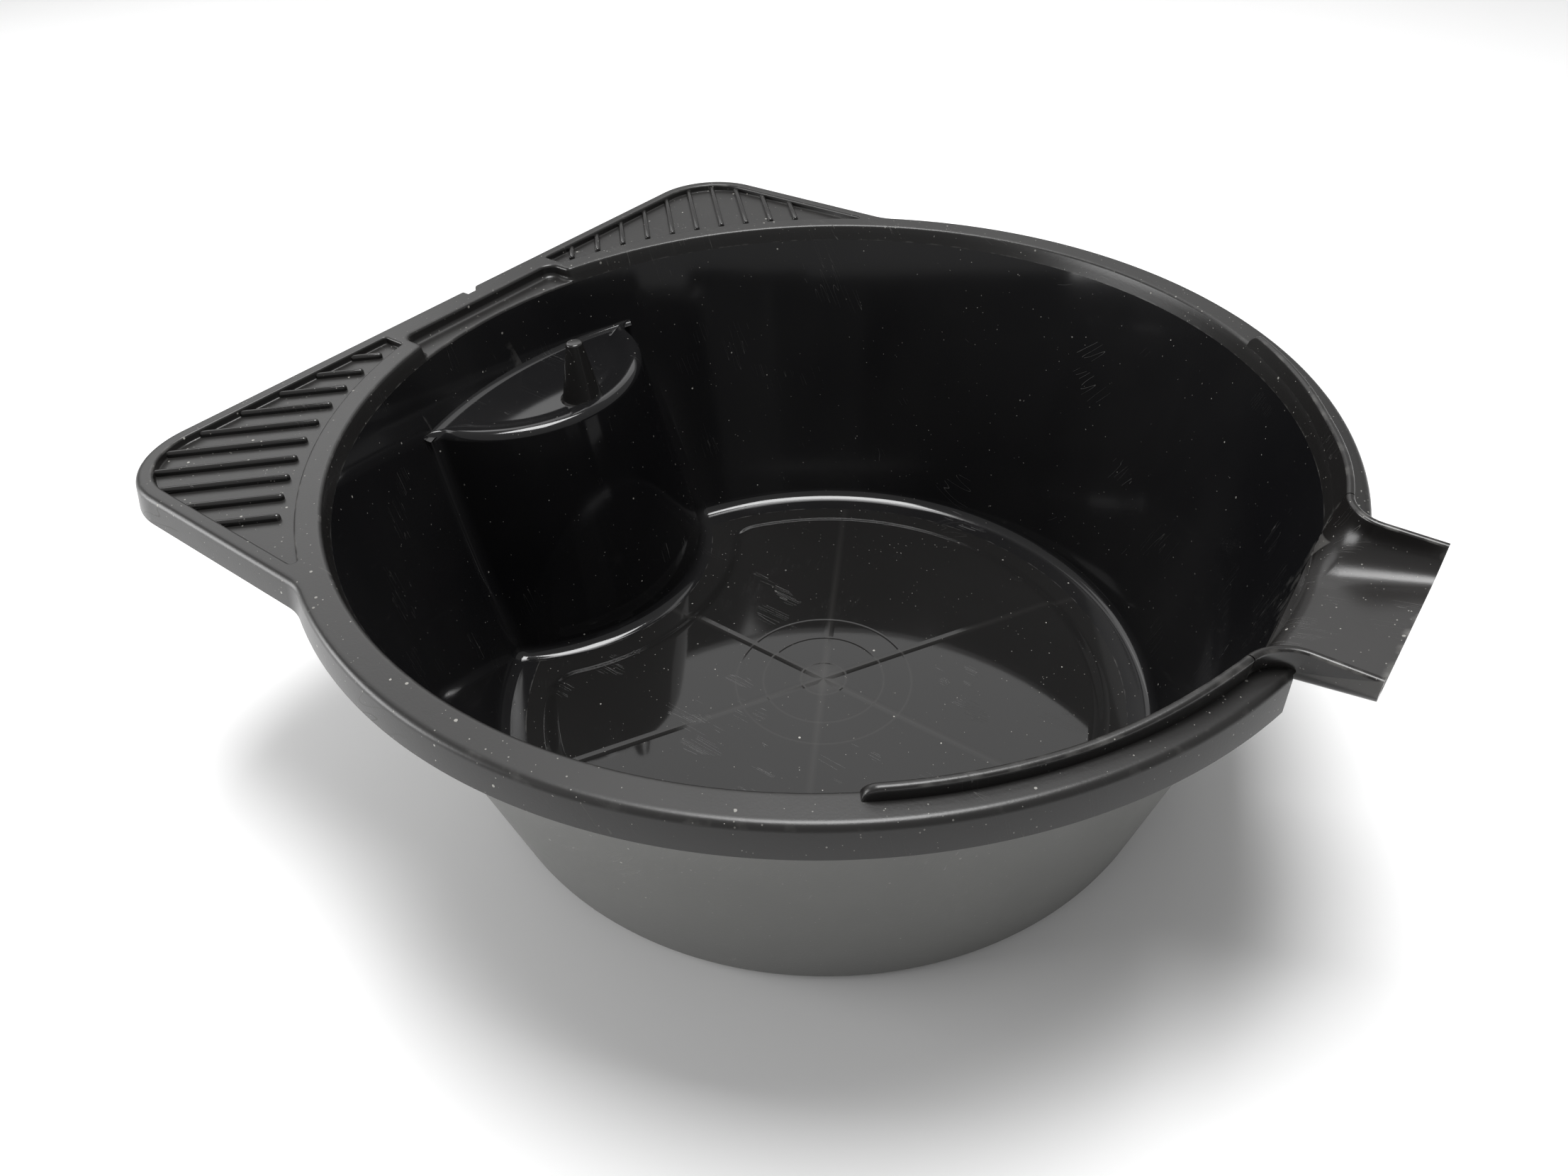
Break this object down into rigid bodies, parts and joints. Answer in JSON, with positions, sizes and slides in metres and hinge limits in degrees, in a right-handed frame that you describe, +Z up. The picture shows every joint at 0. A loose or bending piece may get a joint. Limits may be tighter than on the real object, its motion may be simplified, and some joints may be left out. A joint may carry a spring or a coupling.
{
  "type": "oil drain pan",
  "caption": "Round black plastic oil drain pan with a pouring spout, splash fences, ribbed ear grips and a filter stand with a peg.",
  "frame": {"origin": "centre of the bounding box on the ground plane; the bowl's own axis is 3.1 mm towards -X", "axes": "+Z up, +X out through the pouring spout, -X to the ear grips, mirror plane XZ"},
  "size_m": [0.3644, 0.343, 0.1323],
  "materials": {
    "bowl_gloss": "polished black polypropylene, mirror-like inside, light dust and fine scuffs",
    "rim_satin": "satin black polypropylene with dust in the corners and small scuffs on the edges",
    "spout_satin": "smooth satin black polypropylene with fine scratches"
  },
  "bodies": {
    "root": {"bowl_wall": "bowl_gloss", "foot_ring": "bowl_gloss", "gutter_floor": "bowl_gloss", "floor_disc": "bowl_gloss", "filter_stand": "bowl_gloss", "filter_peg": "rim_satin", "rim_left": "rim_satin", "rim_right": "rim_satin", "rim_band_left": "rim_satin", "rim_band_right": "rim_satin", "ear_edge_left": "rim_satin", "ear_edge_right": "rim_satin", "ear_panel_left": "rim_satin", "ear_panel_right": "rim_satin", "back_bridge": "rim_satin", "pocket_tray": "rim_satin", "splash_fence_left": "rim_satin", "splash_fence_right": "rim_satin", "underside_spokes": "rim_satin", "pour_spout": "spout_satin"}
  },
  "joints": []
}
